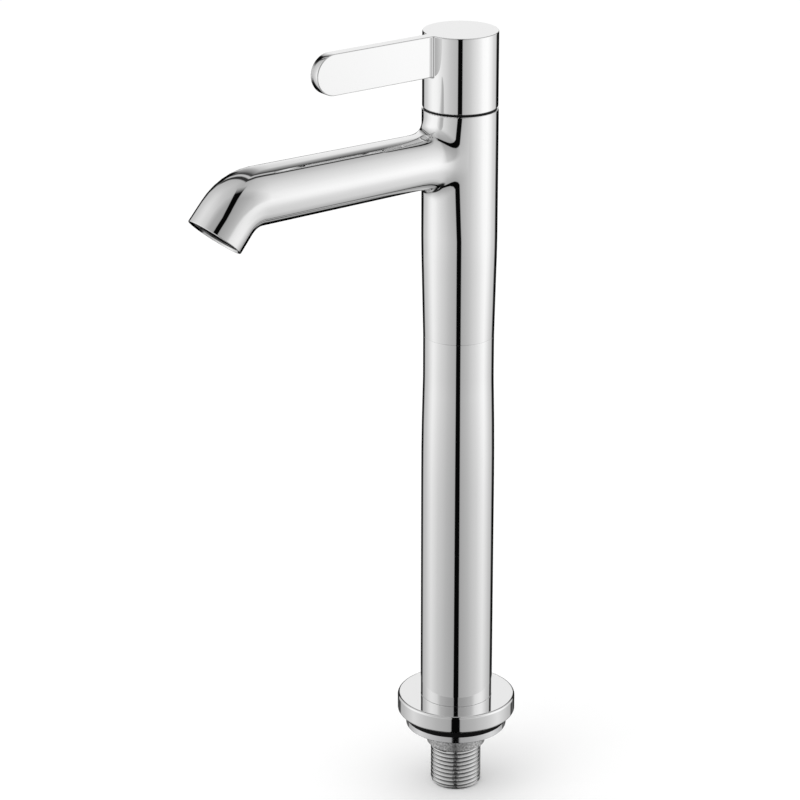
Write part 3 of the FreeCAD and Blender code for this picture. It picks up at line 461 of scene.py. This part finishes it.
# %% Blend at the spout's root
ROOT_SOFTNESS = 0.0018
SPOUT_SLACK = 0.0005
COLUMN_SLACK = 0.0001
ROOT_LENGTH = 0.06
ROOT_BOTTOM = 0.2157
ROOT_TOP = 0.2655
lead = add_node(root, "ShaderNodeMath", [off_spout, off_column], operation="SUBTRACT")
lead = add_node(root, "ShaderNodeMath", [lead, ROOT_SOFTNESS], operation="DIVIDE")
growth = add_node(root, "ShaderNodeMath", [lead], operation="EXPONENT")
growth = add_node(root, "ShaderNodeMath", [growth, 1.0], operation="ADD")
spout_share = add_node(root, "ShaderNodeMath", [1.0, growth], operation="DIVIDE")
spout_way = add_node(root, "ShaderNodeVectorMath", [spout_arm], operation="NORMALIZE")
column_way = add_node(root, "ShaderNodeVectorMath", [column_arm], operation="NORMALIZE")
blended = add_node(root, "ShaderNodeMix", {
    "Factor": spout_share, "A": column_way, "B": spout_way}, data_type="VECTOR")
blended = add_node(root, "ShaderNodeVectorMath", [blended], operation="NORMALIZE")
nearer = add_node(root, "ShaderNodeMath", [off_spout, off_column], operation="MINIMUM")
share = 1.0
for reading, test, limit in (
        (nearer, "GREATER_THAN", -SPOUT_SLACK), (off_column, "GREATER_THAN", -COLUMN_SLACK),
        (spot["Y"], "LESS_THAN", 0.0), (spot["Y"], "GREATER_THAN", -ROOT_LENGTH),
        (spot["Z"], "LESS_THAN", ROOT_TOP), (spot["Z"], "GREATER_THAN", ROOT_BOTTOM)):
    passed = add_node(root, "ShaderNodeMath", [reading, limit], operation=test)
    share = add_node(root, "ShaderNodeMath", [share, passed], operation="MULTIPLY")
chosen = add_node(root, "ShaderNodeMix", {"Factor": share, "A": normal, "B": blended},
                  data_type="VECTOR")
end_skin_group(root, skin, chosen)
pieces["head_casting"].modifiers.new("soft_root", "NODES").node_group = root

# %% [markdown]
# The round end of the lever is buffed too, and buffing takes more off its rear edge,
# the one that a hand wraps round. So its rim leans a little to the rear instead of
# standing square, which gives the lever's end its dark outline. Only the normals lean
# here, and the solid stays square. A normal that points straight across belongs to one
# of the flat faces, and is left alone.

# %% Buffed lever end
LEVER_STRAIGHT = 0.0609
RIM_HALF_WIDTH = 0.0019
REAR_LEAN = 0.5
FLAT_ACROSS = 0.9
lever_end, skin, point, normal = start_skin_group("buffed_lever_end")
spot = add_node(lever_end, "ShaderNodeSeparateXYZ", [point]).outputs
aside = add_node(lever_end, "ShaderNodeSeparateXYZ", [normal]).outputs["X"]
aside = add_node(lever_end, "ShaderNodeMath", [aside], operation="ABSOLUTE")
on_end = add_node(lever_end, "ShaderNodeMath", [spot["Y"], -LEVER_STRAIGHT],
                  operation="LESS_THAN")
on_rim = add_node(lever_end, "ShaderNodeMath", [aside, FLAT_ACROSS], operation="LESS_THAN")
lean = add_node(lever_end, "ShaderNodeMapRange", {
    "Value": spot["X"], "From Min": RIM_HALF_WIDTH, "From Max": -RIM_HALF_WIDTH,
    "To Max": -REAR_LEAN})
for mask in (on_end, on_rim):
    lean = add_node(lever_end, "ShaderNodeMath", [lean, mask], operation="MULTIPLY")
rearward = add_node(lever_end, "ShaderNodeCombineXYZ", {"X": lean})
leaning = add_node(lever_end, "ShaderNodeVectorMath", [normal, rearward], operation="ADD")
leaning = add_node(lever_end, "ShaderNodeVectorMath", [leaning], operation="NORMALIZE")
end_skin_group(lever_end, skin, leaning)
pieces["handle"].modifiers.new("buffed_end", "NODES").node_group = lever_end
print("lever end leans", round(math.degrees(math.atan(REAR_LEAN))), "degrees")

# %% [markdown]
# ## Finishes
# One function starts a material: its name, colour and the values that are the same all
# over it, set straight on the shader. Detail is then added by nodes. Object coordinates
# are in metres here, so a noise scale of 1000 gives grains about a millimetre wide. A
# noise spends nearly all its area between 0.3 and 0.7, so that is the range to spread
# over the darkest and brightest or the smoothest and roughest value.

# %% Start of a finish
NOISE_LOW = 0.3
NOISE_HIGH = 0.7


def new_finish(name, colour, metallic, roughness):
    """Start a material, and return it with its tree, shader and object coordinates."""
    material = bpy.data.materials.new(name)
    material.use_nodes = True
    shader = material.node_tree.nodes["Principled BSDF"]
    shader.inputs["Base Color"].default_value = linear(colour)
    shader.inputs["Metallic"].default_value = metallic
    shader.inputs["Roughness"].default_value = roughness
    where = add_node(material.node_tree, "ShaderNodeTexCoord").outputs["Object"]
    return material, material.node_tree, shader, where


def finish_pieces(material, names):
    """Put one material on the named CAD pieces."""
    for name in names:
        pieces[name].data.materials.clear()
        pieces[name].data.materials.append(material)
    print(material.name, "on", len(names))


# %% [markdown]
# ### Polished chrome plate
# Column, head, flange and handle are brass, ground and buffed by hand, then plated with
# nickel and a thin layer of chromium. Buffing leaves the surface very smooth but never
# quite true: over a few centimetres it waves by a few thousandths of a millimetre,
# which makes straight reflections bend a little. A metallic shader with very low
# roughness gives the mirror. A soft noise of one swell in about 33 mm gives the wave,
# and a finer one, of about 8 mm, the slight haze that differs from place to place.

# %% Polished chrome
chrome, tree, shader, where = new_finish("polished_chrome_plate", "#E7E7E7", 1.0, 0.03)
haze = add_node(tree, "ShaderNodeTexNoise", {"Vector": where, "Scale": 120.0, "Detail": 4.0})
haze_level = add_node(tree, "ShaderNodeMapRange", {
    "Value": haze, "From Min": NOISE_LOW, "From Max": NOISE_HIGH,
    "To Min": 0.02, "To Max": 0.05})
wave = add_node(tree, "ShaderNodeTexNoise", {"Vector": where, "Scale": 30.0, "Detail": 0.0})
wave_bump = add_node(tree, "ShaderNodeBump", {
    "Strength": 1.0, "Distance": 0.00002, "Height": wave})
fill_inputs(shader, {"Roughness": haze_level, "Normal": wave_bump})
finish_pieces(chrome, CHROME_PIECES)

# %% [markdown]
# ### Turned, plated brass
# The clamping ring, neck and inlet shank are one turned part. Its ring is bright with
# fine tool lines. The neck is left as it was cast: grainy and grey. A fine dark line down
# it is a painted reflection of the tent's dark gap. The thread is cut after casting, and
# its grey goes from light crests to dark roots, which is painted shade. Height along the
# part picks between the three, and the lines follow the tool: round the axis at a feed
# of about 0.3 mm. The function that draws them counts the tool's way along the surface,
# and the bare metals below use it again. The casting's grain is drawn 0.7 mm wide, about
# three times as coarse as the real one, because finer grain doesn't show in the render.

# %% Tool lines
def tool_lines(tree, where, feed):
    """Add fine lines round the axis, and return them with radius and height."""
    axes = add_node(tree, "ShaderNodeSeparateXYZ", [where]).outputs
    flat = add_node(tree, "ShaderNodeCombineXYZ", {"X": axes["X"], "Y": axes["Y"]})
    radius = add_node(tree, "ShaderNodeVectorMath", [flat], operation="LENGTH")
    travel = add_node(tree, "ShaderNodeMath", [radius, axes["Z"]], operation="ADD")
    turns = add_node(tree, "ShaderNodeMath", [travel, 2 * math.pi / feed],
                     operation="MULTIPLY")
    lines = add_node(tree, "ShaderNodeMath", [turns], operation="SINE")
    return lines, radius, axes["Z"]


SHANK_FEED = 0.0003
shank, tree, shader, where = new_finish("turned_plated_brass", "#C4C4C3", 1.0, 0.2)
lines, radius, rise = tool_lines(tree, where, SHANK_FEED)
print("tool lines", round(SHANK_FEED * 1000, 2), "mm apart")

# %% Cast neck and cut thread
ACROSS_PAINTED_GAP_LINE = (0.676, 0.737, 0.0)
GAP_LINE_DARK = 0.0001
GAP_LINE_CLEAR = 0.0003
THREAD_ROOT = 0.00925
THREAD_CREST = 0.0101
sand = add_node(tree, "ShaderNodeTexNoise", {"Vector": where, "Scale": 1400.0, "Detail": 3.0})
# Painted reflection: the thin dark line down the neck, along one plane through the axis, stands
# in for the tent's dark gap.
across = add_node(tree, "ShaderNodeVectorMath", [where, ACROSS_PAINTED_GAP_LINE], operation="DOT_PRODUCT")
off_gap_line = add_node(tree, "ShaderNodeMath", [across], operation="ABSOLUTE")
painted_gap_line = add_node(tree, "ShaderNodeMapRange", {
    "Value": off_gap_line, "From Min": GAP_LINE_DARK, "From Max": GAP_LINE_CLEAR,
    "To Min": 0.35})
speckle = add_node(tree, "ShaderNodeMapRange", {
    "Value": sand, "From Min": NOISE_LOW, "From Max": NOISE_HIGH})
grain_and_gap_line = add_node(tree, "ShaderNodeMath", [speckle, painted_gap_line], operation="MULTIPLY")
cast_grey = add_node(tree, "ShaderNodeMix", {
    "Factor": grain_and_gap_line, "A": linear("#828282"), "B": linear("#DCDCDC")}, data_type="RGBA")
# Painted shade: the thread's grey darkens by radius from the crests to the roots, standing in for
# the shade in the roots.
painted_root_shade = add_node(tree, "ShaderNodeMapRange", {
    "Value": radius, "From Min": THREAD_ROOT, "From Max": THREAD_CREST})
thread_grey_painted_shade = add_node(tree, "ShaderNodeMix", {
    "Factor": painted_root_shade, "A": linear("#6E6E6E"), "B": linear("#F0F0F0")},
    data_type="RGBA")
print("thread", round((THREAD_CREST - THREAD_ROOT) * 1000, 2), "mm deep")

# %% Ring, neck and thread
RING_BOTTOM = -0.00005
NECK_BOTTOM = -0.00825
RING_ROUGHNESS = 0.1
NECK_ROUGHNESS = 0.38
THREAD_ROUGHNESS = 0.16
on_ring = add_node(tree, "ShaderNodeMath", [rise, RING_BOTTOM], operation="GREATER_THAN")
on_thread = add_node(tree, "ShaderNodeMath", [rise, NECK_BOTTOM], operation="LESS_THAN")
low_grey = add_node(tree, "ShaderNodeMix", {
    "Factor": on_thread, "A": cast_grey, "B": thread_grey_painted_shade}, data_type="RGBA")
all_grey = add_node(tree, "ShaderNodeMix", {
    "Factor": on_ring, "A": low_grey, "B": linear("#E2E2E3")}, data_type="RGBA")
low_rough = add_node(tree, "ShaderNodeMix", {
    "Factor": on_thread, "A": NECK_ROUGHNESS, "B": THREAD_ROUGHNESS})
all_rough = add_node(tree, "ShaderNodeMix", {
    "Factor": on_ring, "A": low_rough, "B": RING_ROUGHNESS})
sand_bump = add_node(tree, "ShaderNodeBump", {
    "Strength": 0.7, "Distance": 0.00012, "Height": sand})
line_bump = add_node(tree, "ShaderNodeBump", {
    "Strength": 0.3, "Distance": 0.000004, "Height": lines})
bump = add_node(tree, "ShaderNodeMix", {
    "Factor": on_ring, "A": sand_bump, "B": line_bump}, data_type="VECTOR")
fill_inputs(shader, {"Base Color": all_grey, "Roughness": all_rough, "Normal": bump})
finish_pieces(shank, SHANK_PIECES)

# %% [markdown]
# ### Rubber
# The gasket under the flange and the O-rings are black nitrile rubber, pressed in a
# steel mould. The eye sees almost no colour and a wide dull shine, a little uneven where
# the skin picked up dust and talc, in patches of 1 to 2 mm.

# %% Rubber
RUBBER_PIECES = ["base_gasket", "base_o_ring", "column_o_ring", "cartridge_o_ring",
                 "spindle_o_rings", "cartridge_seat_seal", "aerator_seal"]
rubber, tree, shader, where = new_finish("moulded_nitrile_rubber", "#060606", 0.0, 0.55)
shader.inputs["Specular IOR Level"].default_value = 0.08
dust = add_node(tree, "ShaderNodeTexNoise", {"Vector": where, "Scale": 700.0, "Detail": 5.0})
dusty = add_node(tree, "ShaderNodeMix", {
    "Factor": dust, "A": linear("#030303"), "B": linear("#101010")}, data_type="RGBA")
dust_bump = add_node(tree, "ShaderNodeBump", {
    "Strength": 0.3, "Distance": 0.00005, "Height": dust})
fill_inputs(shader, {"Base Color": dusty, "Normal": dust_bump})
finish_pieces(rubber, RUBBER_PIECES)

# %% [markdown]
# ### Acetal
# Acetal is a waxy, slippery plastic for parts that rub. The ring under the handle is
# black, and the bush, washer and aerator core are natural white. The aerator's housing
# is dark grey: painted shade that stands in for the shade deep in the outlet. All are
# moulded against fine spark-eroded steel, so they share a fine even grain, drawn 0.4 mm
# wide so that it shows, and one loop makes the three colours. The dark ones stand in gaps
# that little light gets into, so their shine is set lower than that of the white.

# %% Acetal
ACETAL = {
    "black_acetal": ("#0E0E10", 0.1, ["glide_ring"]),
    "white_acetal": ("#E6E5DF", 0.5, ["spline_adapter", "aerator_core", "thrust_washer"]),
    # Painted shade: the housing's dark grey stands in for the shade deep in the outlet.
    "dark_acetal_painted_shade": ("#1A1A1B", 0.1, ["aerator_housing"]),
}
for name, (colour, specular, members) in ACETAL.items():
    plastic, tree, shader, where = new_finish(name, colour, 0.0, 0.38)
    shader.inputs["Specular IOR Level"].default_value = specular
    grain = add_node(tree, "ShaderNodeTexNoise", {
        "Vector": where, "Scale": 2500.0, "Detail": 2.0})
    grain_bump = add_node(tree, "ShaderNodeBump", {
        "Strength": 0.25, "Distance": 0.00002, "Height": grain})
    cloud = add_node(tree, "ShaderNodeTexNoise", {
        "Vector": where, "Scale": 300.0, "Detail": 2.0})
    shine = add_node(tree, "ShaderNodeMapRange", {
        "Value": cloud, "From Min": NOISE_LOW, "From Max": NOISE_HIGH,
        "To Min": 0.32, "To Max": 0.46})
    fill_inputs(shader, {"Roughness": shine, "Normal": grain_bump})
    finish_pieces(plastic, members)

# %% [markdown]
# ### Machined brass and stainless steel
# The cartridge and its spindle are turned from bar and left bare, yellow with bright
# tool lines. Strainer, clip and set screw are stainless steel. So is the aerator's
# screen, but its colour is set near-black as painted shade, so that the outlet looks
# dark and empty. All are metals, so their colour is the colour of their reflection.
# Fine lines round the axis, 0.25 mm apart, show the lathe, and stains of about 6 mm
# make the shine uneven.

# %% Brass and steel
BAR_FEED = 0.00025
METALS = {
    "machined_brass": ("#D9B36C", 0.24, ["cartridge_body", "cartridge_spindle"]),
    "stainless_steel": (
        "#BDBBB6", 0.28, ["aerator_strainer", "handle_set_screw", "spindle_circlip"]),
    # Painted shade: the screen's near-black colour stands in for the shade deep in the outlet.
    "painted_shade_steel": ("#262626", 0.4, ["aerator_screen"]),
}
for name, (colour, roughness, members) in METALS.items():
    metal, tree, shader, where = new_finish(name, colour, 1.0, roughness)
    lines, radius, rise = tool_lines(tree, where, BAR_FEED)
    line_bump = add_node(tree, "ShaderNodeBump", {
        "Strength": 0.4, "Distance": 0.000006, "Height": lines})
    stain = add_node(tree, "ShaderNodeTexNoise", {
        "Vector": where, "Scale": 180.0, "Detail": 4.0})
    tone = add_node(tree, "ShaderNodeMapRange", {
        "Value": stain, "From Min": NOISE_LOW, "From Max": NOISE_HIGH,
        "To Min": roughness - 0.05, "To Max": roughness + 0.08})
    fill_inputs(shader, {"Roughness": tone, "Normal": line_bump})
    finish_pieces(metal, members)

# %% [markdown]
# ### Alumina ceramic
# The two discs that open and close the tap are sintered alumina, lapped so flat that
# they seal on a film of grease. They are ivory white with grey specks a third of a
# millimetre wide and a gloss like polished stone. Alumina bends light more than plastic
# does, hence its IOR of 1.76.

# %% Ceramic
ALUMINA_IOR = 1.76
ceramic, tree, shader, where = new_finish("lapped_alumina", "#EFEDE6", 0.0, 0.18)
shader.inputs["IOR"].default_value = ALUMINA_IOR
specks = add_node(tree, "ShaderNodeTexNoise", {
    "Vector": where, "Scale": 3000.0, "Detail": 2.0})
speck_mask = add_node(tree, "ShaderNodeMapRange", {
    "Value": specks, "From Min": 0.66, "From Max": 0.72})
speckled = add_node(tree, "ShaderNodeMix", {
    "Factor": speck_mask, "A": linear("#EFEDE6"), "B": linear("#B9B7B0")}, data_type="RGBA")
fill_inputs(shader, {"Base Color": speckled})
finish_pieces(ceramic, ["fixed_disc", "moving_disc"])
print("finished pieces:", sum(len(piece.data.materials) > 0 for piece in pieces.values()))
